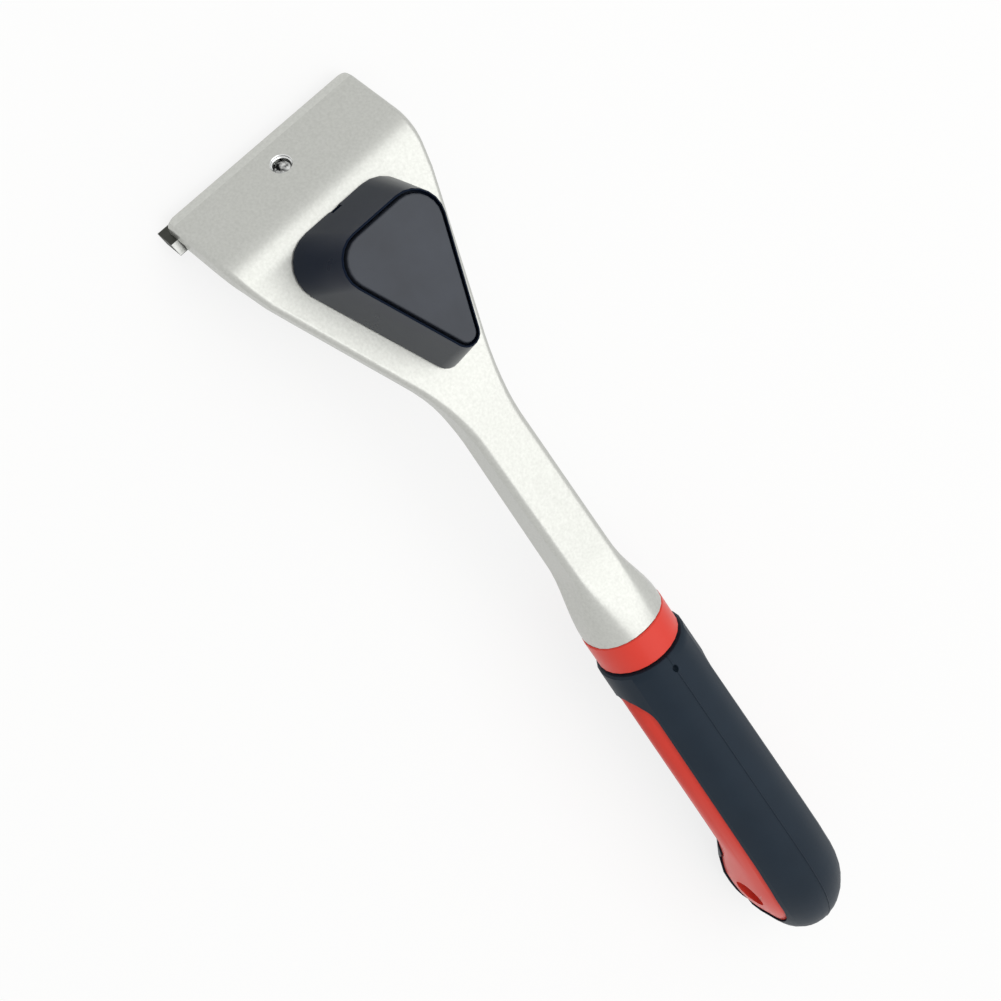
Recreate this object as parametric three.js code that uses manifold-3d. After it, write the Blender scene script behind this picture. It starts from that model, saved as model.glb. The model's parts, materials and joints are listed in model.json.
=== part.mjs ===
// Two-hand pull scraper for paint: a cast head and neck with a blade clamped under its sloping front,
// a three-cornered palm knob, and a two-colour moulded handle on the tang.
// Lengths are millimetres and angles degrees. While the pieces are made, x runs back along the tool
// from the bend of the head, y runs across it, and z runs up from the flat top of the head.

import * as THREE from "three";
import { mergeVertices } from "three/addons/utils/BufferGeometryUtils.js";
import Module from "manifold-3d";

const wasm = await Module();
wasm.setup();

// Fit between pieces that rest on or in each other
const GAP = 0.25;

// Head of the casting
const HEAD_WIDTH = 62;
const SLOPE_LENGTH = 25.3;
const SLOPE_ANGLE = 45;
const BEND_RADIUS = 15;
const TAPER_START = 4.7;
const TAPER_ANGLE = 21.4;
const TAPER_BLEND = 4;
const RIM_DEPTH = 6;
const RIM_EDGE_RADIUS = 0.8;
const SKIN = 3.4;
const WALL = 3;
const HEAD_EDGE_RADIUS = 1.6;
const LIP_CORNER_RADIUS = 0.8;
const LIP_EDGE_RADIUS = 2;
const LIP_BEVEL_LENGTH = 2.8;
const LIP_BEVEL_DROP = 0.5;
const RIB_THICKNESS = 2.4;
const HOLLOW_RADIUS = 1;

// Neck of the casting, a bar in line with the handle
const NECK_START = 50;
const NECK_ROOT_LENGTH = 22;
const NECK_WIDTH = 15;
const NECK_FRONT_DEPTH = 9.8;
const NECK_DEPTH = 15.6;
const NECK_BLEND = 5;
const NECK_TOP_BLEND = 1.6;
const NECK_EDGE_RADIUS = 2.2;
const NECK_END_ROUNDNESS = 0.94;
const NECK_WALL = 3.6;
const NECK_SKIN = 4.5;
const NECK_RIBS = 2;
const FLARE_LENGTH = 24;

// Tang of the casting, inside the handle
const TANG_LENGTH = 78;
const TANG_ROOT = 4;
const TANG_WIDTH = 12;
const TANG_HEIGHT = 9;
const TANG_NOTCHES = 3;
const TANG_NOTCH_LENGTH = 7;
const TANG_NOTCH_DEPTH = 1.6;

// Blade and its clamp
const BLADE_LENGTH = 63.5;
const BLADE_DEPTH = 8.4;
const BLADE_THICKNESS = 1.8;
const BLADE_BEVEL = 3;
const BLADE_EDGE_LAND = 0.2;
const BLADE_REACH = 2.2;
const BLADE_SIDE_SHIFT = 1.3;
const SHOULDER_WALL = 0.4;
const CLAMP_BITE = 0.3;
const CLAMP_THICKNESS = 2.8;
const CLAMP_SIDE_INSET = 1.5;
const CLAMP_NOSE_SETBACK = 2.2;
const CLAMP_NOSE_LENGTH = 4;
const CLAMP_NOSE_THICKNESS = 0.8;
const CLAMP_DEPTH = 18.5;
const CLAMP_HEEL_LENGTH = 3;
const CLAMP_CORNER_RADIUS = 3;
const CLAMP_SCREW_DIAMETER = 5;
const CLAMP_SCREW_HEAD_DIAMETER = 9;
const CLAMP_SCREW_HEAD_HEIGHT = 2.4;
const CLAMP_SCREW_SOCKET = 3;
const SOCKET_SHARE = 0.7;
const CLAMP_SCREW_TIP_BELOW = 1.6;
const SCREW_CHAMFER = 0.5;
const HOLE_CHAMFER = 0.2;

// Knob
const KNOB_HEIGHT = 25;
const KNOB_FRONT = 7;
const KNOB_APEX = 52.8;
const KNOB_HALF_ANGLE = 22.5;
const KNOB_FRONT_RADIUS = 8;
const KNOB_FOOT_FRONT_RADIUS = 9.6;
const KNOB_REAR_RADIUS = 3.6;
const KNOB_FOOT_REAR_RADIUS = 4.2;
const KNOB_LEAST_RADIUS = 0.6;
const KNOB_DRAFT = 3.3;
const KNOB_WALL = 2.6;
const KNOB_FLOOR = 3;
const KNOB_FOOT_CHAMFER = 0.6;
const CAP_THICKNESS = 2.4;
const CAP_EDGE_RADIUS = 0.4;
const CAP_SKIRT_HEIGHT = 4;
const CAP_SKIRT_WALL = 1.4;
const KNOB_LIP = 0.4;
const KNOB_LIP_DROP = 0.5;
const KNOB_LIP_CHAMFER = 0.25;
const GROOVE_WIDTH = 0.8;
const KNOB_SCREW_DIAMETER = 4;
const KNOB_SCREW_HEAD_DIAMETER = 7.6;
const KNOB_SCREW_HEAD_HEIGHT = 2.6;
const KNOB_SCREW_SPACING = 20;
const KNOB_SCREW_SHARE = 0.4;
const KNOB_BOSS_DIAMETER = 9;

// Handle
const HANDLE_SETBACK = 156.3;
const HANDLE_DROP = 26.6;
const HANDLE_ANGLE = 12.4;
const HANDLE_LENGTH = 129;
const HANDLE_TALLNESS = 1.05;
const COLLAR_LENGTH = 9.9;
const COLLAR_RADIUS = 12.5;
const COLLAR_STEP = 0.5;
const COLLAR_EDGE = 0.35;
const GRIP_FRONT_RADIUS = 13.5;
const GRIP_REAR_RADIUS = 14.9;
const GRIP_SKIN = 2.6;
const GRIP_SQUARENESS = 2;
const GRIP_END_ROUNDING = 30;
const END_DROOP = 8.6;
const END_DROOP_LENGTH = 47;
const GRIP_END_SQUARENESS = 2.1;
const GRIP_END_FLAT = 0.15;
const GRIP_GROOVE_WIDTH = 0.9;
const GRIP_EDGE = 0.6;
const HOOK_DROP = 7;
const HOOK_FROM_END = 45.5;
const HOOK_RISE = 10;
const HOOK_SQUARENESS = 3;
const HOOK_FLARE = 0.16;
const STRIP_START = 10.5;
const STRIP_HALF_HEIGHT = 8;
const STRIP_TIP_LENGTH = 9;
const STRIP_RECESS = 0.6;
const STRIP_END_MARGIN = 13;
const STRIP_END_BEND = 12;
const HANG_HOLE_DIAMETER = 10.5;
const HANG_HOLE_FROM_END = 26.5;
const HANG_HOLE_DROP = 6.3;

// Facets
const CORNER_STEPS = 6;
const KNOB_CORNER_STEPS = 7;
const LIP_STEPS = 3;
const SLOPE_STEPS = 2;
const BEND_STEPS = 8;
const PLATEAU_STEPS = 7;
const NECK_STEPS = 26;
const ROUND_STEPS = 24;
const OVAL_STEPS = 28;
const HOLLOW_STEPS = 8;
const GRIP_STEPS = 10;
const GRIP_END_STEPS = 9;
const TILT_HALVINGS = 40;

const slope = THREE.MathUtils.degToRad(SLOPE_ANGLE);
const taper = THREE.MathUtils.degToRad(TAPER_ANGLE);
const knobHalf = THREE.MathUtils.degToRad(KNOB_HALF_ANGLE);
const descent = THREE.MathUtils.degToRad(HANDLE_ANGLE);
const QUARTER = Math.PI / 2;

// Axis that revolved and round forms are made about
const REVOLVE_AXIS = new THREE.Vector3(0, 1, 0);

// Solids and their joins

function solid(geometry) {
  const bare = new THREE.BufferGeometry();
  bare.setAttribute("position", geometry.getAttribute("position"));
  if (geometry.index) bare.setIndex(geometry.index);
  const welded = mergeVertices(bare, 1e-4);
  return new wasm.Manifold(
    new wasm.Mesh({
      numProp: 3,
      vertProperties: Float32Array.from(welded.attributes.position.array),
      triVerts: Uint32Array.from(welded.index.array),
    }),
  );
}

function joined(first, ...others) {
  return others.reduce((whole, other) => whole.add(other), first);
}

function cut(first, ...cutters) {
  return cutters.reduce((whole, cutter) => whole.subtract(cutter), first);
}

function piece(name, body, color, roughness, metalness) {
  const { vertProperties, triVerts } = body.getMesh();
  const geometry = new THREE.BufferGeometry();
  geometry.setAttribute("position", new THREE.BufferAttribute(Float32Array.from(vertProperties), 3));
  geometry.setIndex(new THREE.BufferAttribute(Uint32Array.from(triVerts), 1));
  geometry.computeVertexNormals();
  const mesh = new THREE.Mesh(geometry, new THREE.MeshStandardMaterial({ color, roughness, metalness }));
  mesh.name = name;
  return mesh;
}

// Numbers

function mix(from, to, share) {
  return from + (to - from) * share;
}

function eased(share) {
  return THREE.MathUtils.smoothstep(share, 0, 1);
}

// Larger of two values, rounded over where they cross
function softMax(a, b, blend) {
  const near = Math.max(blend - Math.abs(a - b), 0) / blend;
  return Math.max(a, b) + (near * near * blend) / 4;
}

function steps(from, to, count) {
  return Array.from({ length: count + 1 }, (_, i) => mix(from, to, i / count));
}

// Basic forms

function shapeOf(points) {
  return new THREE.Shape(points.map(([x, y]) => new THREE.Vector2(x, y)));
}

function rectangle(left, bottom, right, top) {
  return shapeOf([[left, bottom], [right, bottom], [right, top], [left, top]]);
}

// Points of a rounded corner
function corner(x, y, radius, from, to, count = CORNER_STEPS) {
  return steps(from, to, count).map(
    (angle) => new THREE.Vector2(x + radius * Math.cos(angle), y + radius * Math.sin(angle)),
  );
}

function roundedSection(half, top, bottom, topRadius, bottomRadius) {
  const most = Math.min(half, (top - bottom) / 2);
  const upper = Math.min(topRadius, most);
  const lower = Math.min(bottomRadius, most);
  return [
    ...corner(half - lower, bottom + lower, lower, -QUARTER, 0),
    ...corner(half - upper, top - upper, upper, 0, QUARTER),
    ...corner(upper - half, top - upper, upper, QUARTER, 2 * QUARTER),
    ...corner(lower - half, bottom + lower, lower, 2 * QUARTER, 3 * QUARTER),
  ];
}

// Solid through rings that have equally many points, counter-clockwise about the way they run
function loft(rings) {
  const count = rings[0].length;
  const last = (rings.length - 1) * count;
  const index = [];
  for (let start = 0; start < last; start += count) {
    for (let j = 0; j < count; j++) {
      const k = (j + 1) % count;
      index.push(start + j, start + k, start + count + k);
      index.push(start + j, start + count + k, start + count + j);
    }
  }
  for (let j = 1; j + 1 < count; j++) {
    index.push(0, j + 1, j);
    index.push(last, last + j, last + j + 1);
  }
  const geometry = new THREE.BufferGeometry().setFromPoints(rings.flat());
  geometry.setIndex(index);
  return solid(geometry);
}

// Plane seen from the side: its first axis runs along the angle, its second is square to it, upward
function sidePlane(x, z, angle) {
  const along = new THREE.Vector3(Math.cos(angle), 0, Math.sin(angle));
  const up = new THREE.Vector3(-Math.sin(angle), 0, Math.cos(angle));
  return new THREE.Matrix4().makeBasis(along, up, new THREE.Vector3(0, -1, 0)).setPosition(x, 0, z);
}

function inPlane(plane, along, up, across = 0) {
  return new THREE.Vector3(along, up, -across).applyMatrix4(plane);
}

// Side profile drawn out across the tool, half to each side of a shifted middle
function prism(plane, profile, width, shift = 0) {
  const settings = { depth: width, bevelEnabled: false, curveSegments: 2 * CORNER_STEPS };
  const geometry = new THREE.ExtrudeGeometry(profile, settings);
  geometry.translate(0, 0, -width / 2 - shift);
  return solid(geometry.applyMatrix4(plane));
}

// Round bar or cone between two points
function rod(from, to, radius, endRadius = radius, sides = ROUND_STEPS) {
  const axis = to.clone().sub(from);
  const geometry = new THREE.CylinderGeometry(endRadius, radius, axis.length(), sides);
  geometry.applyQuaternion(new THREE.Quaternion().setFromUnitVectors(REVOLVE_AXIS, axis.normalize()));
  const middle = from.clone().add(to).multiplyScalar(0.5);
  return solid(geometry.translate(middle.x, middle.y, middle.z));
}

function upright(x, from, to, radius) {
  return rod(new THREE.Vector3(x, 0, from), new THREE.Vector3(x, 0, to), radius);
}

// Profile of [radius, height] points turned about an axis, heights counted from its foot
function turned(foot, axis, profile) {
  const points = profile.map(([radius, height]) => new THREE.Vector2(radius, height));
  const geometry = new THREE.LatheGeometry(points, ROUND_STEPS);
  geometry.applyQuaternion(new THREE.Quaternion().setFromUnitVectors(REVOLVE_AXIS, axis));
  return solid(geometry.translate(foot.x, foot.y, foot.z));
}

// Places that the pieces share

const lip = new THREE.Vector2(-SLOPE_LENGTH * Math.cos(slope), -SLOPE_LENGTH * Math.sin(slope));
const slopePlane = sidePlane(lip.x, lip.y, slope);
const slopeUp = new THREE.Vector3(-Math.sin(slope), 0, Math.cos(slope));
const handlePlane = sidePlane(HANDLE_SETBACK, -HANDLE_DROP, -descent);
const bendReach = BEND_RADIUS * Math.tan(slope / 2);
const neckEndRadius = COLLAR_RADIUS - COLLAR_STEP;
const neckEndHeight = neckEndRadius * HANDLE_TALLNESS;
const bladeTop = BLADE_THICKNESS - RIM_DEPTH - CLAMP_BITE;
const bladeRear = BLADE_DEPTH - BLADE_REACH;
const shoulder = bladeRear + GAP;
const screwRadius = CLAMP_SCREW_DIAMETER / 2;
const screwSetback = shoulder + SHOULDER_WALL + GAP + screwRadius;
const clampTop = -RIM_DEPTH - CLAMP_BITE - GAP;
const clampBottom = clampTop - CLAMP_THICKNESS;
const clampRear = CLAMP_NOSE_SETBACK + CLAMP_DEPTH;
const knobMiddle = mix(KNOB_FRONT, KNOB_APEX, KNOB_SCREW_SHARE);
const knobScrewPlaces = [knobMiddle - KNOB_SCREW_SPACING / 2, knobMiddle + KNOB_SCREW_SPACING / 2];

// Head, neck and tang

function drawTopLine() {
  const path = new THREE.Path();
  path.moveTo(lip.x, lip.y);
  path.lineTo(-bendReach * Math.cos(slope), -bendReach * Math.sin(slope));
  path.absarc(bendReach, -BEND_RADIUS, BEND_RADIUS, QUARTER + slope, QUARTER, true);
  path.lineTo(NECK_START, 0);
  return path;
}

const topLine = drawTopLine();
const plateauEnd = topLine.getLength();
const bendStart = SLOPE_LENGTH - bendReach;
const bendEnd = bendStart + BEND_RADIUS * slope;
const neckFrom = (NECK_START - HANDLE_SETBACK) / Math.cos(descent);
const neckTo = -COLLAR_LENGTH - GAP;

// Share of the way from the waist of the neck to the collar
function flareShare(along) {
  return eased(1 - (neckTo - along) / FLARE_LENGTH);
}

function headHalf(x) {
  const straight = HEAD_WIDTH / 2;
  const tapered = straight - (x - TAPER_START) * Math.tan(taper);
  return -softMax(-straight, -tapered, TAPER_BLEND);
}

// Section of the head at a distance from the lip along its top line
function headSection(along) {
  const share = Math.min(along / plateauEnd, 1);
  const point = topLine.getPointAt(share);
  const tangent = topLine.getTangentAt(share);
  const fromLip = Math.max(LIP_CORNER_RADIUS - along, 0);
  const cornerInset = LIP_CORNER_RADIUS - Math.sqrt(LIP_CORNER_RADIUS ** 2 - fromLip ** 2);
  const bevel = Math.max(1 - along / LIP_BEVEL_LENGTH, 0);
  return {
    plane: sidePlane(point.x, point.y, Math.atan2(tangent.y, tangent.x)),
    half: softMax(headHalf(point.x), NECK_WIDTH / 2, NECK_BLEND) - cornerInset,
    top: -LIP_BEVEL_DROP * bevel,
    bottom: -RIM_DEPTH,
    topRadius: mix(HEAD_EDGE_RADIUS, LIP_EDGE_RADIUS, bevel),
    bottomRadius: RIM_EDGE_RADIUS,
  };
}

// Section of the neck at a place along the handle's axis: level with the head in front, round behind
function neckSection(along) {
  const centre = inPlane(handlePlane, along, 0);
  const fromHead = along - neckFrom;
  const root = eased(fromHead / NECK_ROOT_LENGTH);
  const flare = flareShare(along);
  const barHalf = mix(NECK_FRONT_DEPTH, NECK_DEPTH, fromHead / (neckTo - FLARE_LENGTH - neckFrom)) / 2;
  const barTop = mix(barHalf, neckEndHeight, flare);
  const endRadius = neckEndRadius * NECK_END_ROUNDNESS;
  return {
    plane: sidePlane(centre.x, centre.z, -descent * root),
    half: softMax(headHalf(centre.x), mix(NECK_WIDTH / 2, neckEndRadius, flare), NECK_BLEND),
    top: -softMax(centre.z, -barTop, NECK_TOP_BLEND),
    bottom: mix(-RIM_DEPTH - centre.z, -barTop, root),
    topRadius: mix(mix(HEAD_EDGE_RADIUS, NECK_EDGE_RADIUS, root), endRadius, flare),
    bottomRadius: mix(mix(RIM_EDGE_RADIUS, NECK_EDGE_RADIUS, root), endRadius, flare),
  };
}

function sectionLoft(sections) {
  const rings = sections.map(({ plane, half, top, bottom, topRadius, bottomRadius }) =>
    roundedSection(half, top, bottom, topRadius, bottomRadius).map(({ x, y }) => inPlane(plane, 0, y, x)),
  );
  return loft(rings);
}

function castingBody() {
  const headStations = [
    ...steps(0, LIP_CORNER_RADIUS, LIP_STEPS),
    ...steps(LIP_CORNER_RADIUS, LIP_BEVEL_LENGTH, LIP_STEPS).slice(1),
    ...steps(LIP_BEVEL_LENGTH, bendStart, SLOPE_STEPS).slice(1),
    ...steps(bendStart, bendEnd, BEND_STEPS).slice(1),
    ...steps(bendEnd, plateauEnd, PLATEAU_STEPS).slice(1),
  ];
  const neckStations = steps(neckFrom, neckTo, NECK_STEPS).slice(1);
  return sectionLoft([...headStations.map(headSection), ...neckStations.map(neckSection)]);
}

// Hollow under a run of sections, open below, that leaves a wall at each side and a skin on top
function underHollow(sections, wall, skin) {
  const insets = sections.map(({ plane, half, top, bottom }) => ({
    plane,
    half: half - wall,
    top: top - skin,
    bottom: bottom - skin,
    topRadius: HOLLOW_RADIUS,
    bottomRadius: HOLLOW_RADIUS,
  }));
  return sectionLoft(insets);
}

// Upright rib, taller than the casting is deep
function rib(x, length, width) {
  return solid(new THREE.BoxGeometry(length, width, 2 * HEAD_WIDTH).translate(x, 0, 0));
}

function headHollow() {
  const bossRadius = KNOB_BOSS_DIAMETER / 2;
  const stations = steps(clampRear + GAP + WALL, plateauEnd - WALL, HOLLOW_STEPS);
  return cut(
    underHollow(stations.map(headSection), WALL, SKIN),
    rib(NECK_START, 2 * NECK_START, RIB_THICKNESS),
    ...knobScrewPlaces.map((x) => rib(x, RIB_THICKNESS, 2 * HEAD_WIDTH)),
    ...knobScrewPlaces.map((x) => upright(x, -HEAD_WIDTH, HEAD_WIDTH, bossRadius)),
  );
}

function neckHollow() {
  const stations = steps(neckFrom + NECK_ROOT_LENGTH, neckTo - FLARE_LENGTH / 2, 2 * HOLLOW_STEPS);
  const ribs = steps(stations[0], stations.at(-1), NECK_RIBS + 1).slice(1, -1);
  return cut(
    underHollow(stations.map(neckSection), NECK_WALL, NECK_SKIN),
    ...ribs.map((along) => rib(inPlane(handlePlane, along, 0).x, RIB_THICKNESS, 2 * HEAD_WIDTH)),
  );
}

// Side of the tang, with notches above and below that key it into the handle
function tangProfile(grow) {
  const half = TANG_HEIGHT / 2 + grow;
  const floor = half - TANG_NOTCH_DEPTH;
  const notch = TANG_NOTCH_LENGTH / 2 - grow;
  const upper = [[-COLLAR_LENGTH - TANG_ROOT, half]];
  for (let i = 1; i <= TANG_NOTCHES; i++) {
    const middle = (i * TANG_LENGTH) / (TANG_NOTCHES + 1) - COLLAR_LENGTH;
    upper.push([middle - notch, half], [middle - notch, floor]);
    upper.push([middle + notch, floor], [middle + notch, half]);
  }
  upper.push([TANG_LENGTH - COLLAR_LENGTH + grow, half]);
  const lower = upper.map(([along, up]) => [along, -up]).reverse();
  return shapeOf([...upper, ...lower]);
}

function tang(grow) {
  return prism(handlePlane, tangProfile(grow), TANG_WIDTH + 2 * grow);
}

function headCasting() {
  const bay = rectangle(-SLOPE_LENGTH, -SLOPE_LENGTH, clampRear + GAP, -RIM_DEPTH);
  const seat = rectangle(-SLOPE_LENGTH, -SLOPE_LENGTH, shoulder, bladeTop + GAP);
  const holeRadius = screwRadius + GAP;
  const holeFoot = inPlane(slopePlane, screwSetback, -2 * RIM_DEPTH);
  const chamferFoot = inPlane(slopePlane, screwSetback, -HOLE_CHAMFER);
  const chamferTop = inPlane(slopePlane, screwSetback, HOLE_CHAMFER);
  const pilotRadius = KNOB_SCREW_DIAMETER / 2 + GAP;
  return cut(
    joined(castingBody(), tang(0)),
    headHollow(),
    neckHollow(),
    prism(slopePlane, bay, 2 * HEAD_WIDTH),
    prism(slopePlane, seat, 2 * HEAD_WIDTH),
    rod(holeFoot, chamferTop, holeRadius),
    rod(chamferFoot, chamferTop, holeRadius, holeRadius + 2 * HOLE_CHAMFER),
    ...knobScrewPlaces.map((x) => upright(x, -2 * RIM_DEPTH, RIM_DEPTH, pilotRadius)),
  );
}

// Blade and clamp

function blade() {
  const profile = shapeOf([
    [-BLADE_REACH, bladeTop],
    [-BLADE_REACH, bladeTop - BLADE_EDGE_LAND],
    [BLADE_BEVEL - BLADE_REACH, bladeTop - BLADE_THICKNESS],
    [bladeRear, bladeTop - BLADE_THICKNESS],
    [bladeRear, bladeTop - BLADE_THICKNESS + BLADE_EDGE_LAND],
    [bladeRear - BLADE_BEVEL, bladeTop],
  ]);
  return prism(slopePlane, profile, BLADE_LENGTH, -BLADE_SIDE_SHIFT);
}

function clampPlate() {
  const profile = shapeOf([
    [CLAMP_NOSE_SETBACK, clampTop],
    [clampRear - CLAMP_HEEL_LENGTH, clampTop],
    [clampRear - CLAMP_HEEL_LENGTH, clampTop + CLAMP_BITE],
    [clampRear, clampTop + CLAMP_BITE],
    [clampRear, clampBottom],
    [CLAMP_NOSE_SETBACK + CLAMP_NOSE_LENGTH, clampBottom],
    [CLAMP_NOSE_SETBACK, clampTop - CLAMP_NOSE_THICKNESS],
  ]);
  const half = HEAD_WIDTH / 2 - CLAMP_SIDE_INSET;
  const outline = roundedSection(
    half,
    clampRear,
    CLAMP_NOSE_SETBACK,
    CLAMP_CORNER_RADIUS,
    CLAMP_CORNER_RADIUS,
  );
  const rings = [2 * clampBottom, 0].map((level) =>
    outline.map(({ x, y }) => inPlane(slopePlane, y, level, -x)),
  );
  const holeFoot = inPlane(slopePlane, screwSetback, 2 * clampBottom);
  const holeTop = inPlane(slopePlane, screwSetback, 0);
  return cut(
    prism(slopePlane, profile, HEAD_WIDTH).intersect(loft(rings)),
    rod(holeFoot, holeTop, screwRadius + GAP),
  );
}

function clampScrew() {
  const headRadius = CLAMP_SCREW_HEAD_DIAMETER / 2;
  const footLevel = clampBottom - GAP - CLAMP_SCREW_HEAD_HEIGHT;
  const foot = inPlane(slopePlane, screwSetback, footLevel);
  const tip = -CLAMP_SCREW_TIP_BELOW - footLevel;
  const body = turned(foot, slopeUp, [
    [0, 0],
    [headRadius - SCREW_CHAMFER, 0],
    [headRadius, SCREW_CHAMFER],
    [headRadius, CLAMP_SCREW_HEAD_HEIGHT],
    [screwRadius, CLAMP_SCREW_HEAD_HEIGHT],
    [screwRadius, tip - SCREW_CHAMFER],
    [screwRadius - SCREW_CHAMFER, tip],
    [0, tip],
  ]);
  const socketFoot = inPlane(slopePlane, screwSetback, 2 * footLevel);
  const socketTop = inPlane(slopePlane, screwSetback, footLevel + CLAMP_SCREW_HEAD_HEIGHT * SOCKET_SHARE);
  const socketRadius = CLAMP_SCREW_SOCKET / Math.sqrt(3);
  return cut(body, rod(socketFoot, socketTop, socketRadius, socketRadius, 6));
}

// Knob

function draftAt(level) {
  return KNOB_DRAFT * (1 - level / KNOB_HEIGHT);
}

// Outline of the knob with three rounded corners at a level, or of a form that lies inside it by an inset
function knobRing(level, inset) {
  const share = level / KNOB_HEIGHT;
  const grow = draftAt(level) - inset;
  const turn = QUARTER - knobHalf;
  const front = Math.max(mix(KNOB_FOOT_FRONT_RADIUS, KNOB_FRONT_RADIUS, share) - inset, KNOB_LEAST_RADIUS);
  const rear = Math.max(mix(KNOB_FOOT_REAR_RADIUS, KNOB_REAR_RADIUS, share) - inset, KNOB_LEAST_RADIUS);
  const apex = KNOB_APEX + grow / Math.sin(knobHalf);
  const frontX = KNOB_FRONT - grow + front;
  const side = ((apex - frontX) * Math.sin(knobHalf) - front) / Math.cos(knobHalf);
  const outline = [
    ...corner(apex - rear / Math.sin(knobHalf), 0, rear, -turn, turn, KNOB_CORNER_STEPS),
    ...corner(frontX, side, front, turn, 2 * QUARTER, KNOB_CORNER_STEPS),
    ...corner(frontX, -side, front, 2 * QUARTER, 4 * QUARTER - turn, KNOB_CORNER_STEPS),
  ];
  return outline.map(({ x, y }) => new THREE.Vector3(x, y, level));
}

function knobLoft(levels) {
  return loft(levels.map(([level, inset]) => knobRing(level, inset)));
}

const capFoot = KNOB_HEIGHT - CAP_THICKNESS;

// Body with a thin lip around the cap, from which a groove keeps the cap apart
function knobBody() {
  const rim = KNOB_HEIGHT - KNOB_LIP_DROP;
  const outside = knobLoft([
    [GAP, KNOB_FOOT_CHAMFER],
    [GAP + KNOB_FOOT_CHAMFER, 0],
    [rim - KNOB_LIP_CHAMFER, 0],
    [rim, KNOB_LIP_CHAMFER],
  ]);
  const seat = knobLoft([
    [capFoot - GAP, KNOB_LIP],
    [KNOB_HEIGHT, KNOB_LIP],
  ]);
  const floor = GAP + KNOB_FLOOR;
  const inside = knobLoft([
    [floor, KNOB_WALL],
    [KNOB_HEIGHT, KNOB_WALL],
  ]);
  const holeRadius = KNOB_SCREW_DIAMETER / 2 + GAP;
  return cut(outside, seat, inside, ...knobScrewPlaces.map((x) => upright(x, -floor, 2 * floor, holeRadius)));
}

function knobCap() {
  const edge = KNOB_LIP + GROOVE_WIDTH;
  const rounding = steps(0, QUARTER, CORNER_STEPS).map((angle) => [
    KNOB_HEIGHT - CAP_EDGE_RADIUS * (1 - Math.sin(angle)),
    edge + CAP_EDGE_RADIUS * (1 - Math.cos(angle)),
  ]);
  const fit = KNOB_WALL + GAP;
  const skirtFoot = capFoot - CAP_SKIRT_HEIGHT;
  const plate = knobLoft([[capFoot, edge], ...rounding]);
  const skirt = knobLoft([
    [skirtFoot, fit],
    [KNOB_HEIGHT - CAP_EDGE_RADIUS, fit],
  ]);
  const hollow = knobLoft([
    [skirtFoot - CAP_SKIRT_HEIGHT, fit + CAP_SKIRT_WALL],
    [capFoot, fit + CAP_SKIRT_WALL],
  ]);
  return cut(joined(plate, skirt), hollow);
}

function knobScrew(x) {
  const headFoot = KNOB_FLOOR + 2 * GAP;
  const depth = RIM_DEPTH - SCREW_CHAMFER;
  const radius = KNOB_SCREW_DIAMETER / 2;
  const headRadius = KNOB_SCREW_HEAD_DIAMETER / 2;
  const headTop = depth + headFoot + KNOB_SCREW_HEAD_HEIGHT;
  return turned(new THREE.Vector3(x, 0, -depth), new THREE.Vector3(0, 0, 1), [
    [0, 0],
    [radius - SCREW_CHAMFER, 0],
    [radius, SCREW_CHAMFER],
    [radius, depth + headFoot],
    [headRadius, depth + headFoot],
    [headRadius, headTop - 2 * SCREW_CHAMFER],
    [headRadius - 2 * SCREW_CHAMFER, headTop],
    [0, headTop],
  ]);
}

// Handle

// How far the middle of the handle has sunk below its axis, toward its end
function droopAt(along) {
  const share = Math.max(along - HANDLE_LENGTH + END_DROOP_LENGTH, 0) / END_DROOP_LENGTH;
  return END_DROOP * share * share;
}

// Oval across the handle's axis, whose lower half can be squarer and wider than its upper half
function ovalRing(along, half, top, bottom, lowerSquareness = GRIP_SQUARENESS, flare = 0) {
  return steps(0, 4 * QUARTER, OVAL_STEPS)
    .slice(0, -1)
    .map((angle) => {
      const [across, up] = [Math.cos(angle), Math.sin(angle)];
      const power = 2 / (up > 0 ? GRIP_SQUARENESS : lowerSquareness);
      const height = up > 0 ? top : bottom;
      return inPlane(
        handlePlane,
        along,
        height * Math.sign(up) * Math.abs(up) ** power - droopAt(along),
        half * (1 + flare * Math.max(-up, 0)) * Math.sign(across) * Math.abs(across) ** power,
      );
    });
}

// Outline of the grip, or of a form that lies inside it by an inset
function gripRing(along, inset) {
  const end = HANDLE_LENGTH - inset;
  const radius = mix(GRIP_FRONT_RADIUS, GRIP_REAR_RADIUS, along / HANDLE_LENGTH);
  const hook = eased((along - HANDLE_LENGTH + HOOK_FROM_END) / HOOK_RISE);
  const rounding = Math.max(1 - (end - along) / GRIP_END_ROUNDING, 0);
  const close = (1 - rounding ** GRIP_END_SQUARENESS) ** (1 / GRIP_END_SQUARENESS);
  const hookClose = (1 - rounding ** HOOK_SQUARENESS) ** (1 / HOOK_SQUARENESS);
  const tall = radius * HANDLE_TALLNESS - inset;
  return ovalRing(
    along,
    (radius - inset) * close,
    tall * close,
    (tall + HOOK_DROP * hook) * hookClose,
    mix(GRIP_SQUARENESS, HOOK_SQUARENESS, hook),
    HOOK_FLARE * hook,
  );
}

function gripForm(start, inset) {
  const end = HANDLE_LENGTH - inset;
  const straight = end - GRIP_END_ROUNDING;
  const lastAngle = Math.asin(1 - GRIP_END_FLAT / GRIP_END_ROUNDING);
  const rounding = steps(0, lastAngle, GRIP_END_STEPS).slice(1);
  const stations = [
    ...steps(start, straight, GRIP_STEPS),
    ...rounding.map((angle) => straight + GRIP_END_ROUNDING * Math.sin(angle)),
  ];
  return loft(stations.map((along) => gripRing(along, inset)));
}

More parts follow.
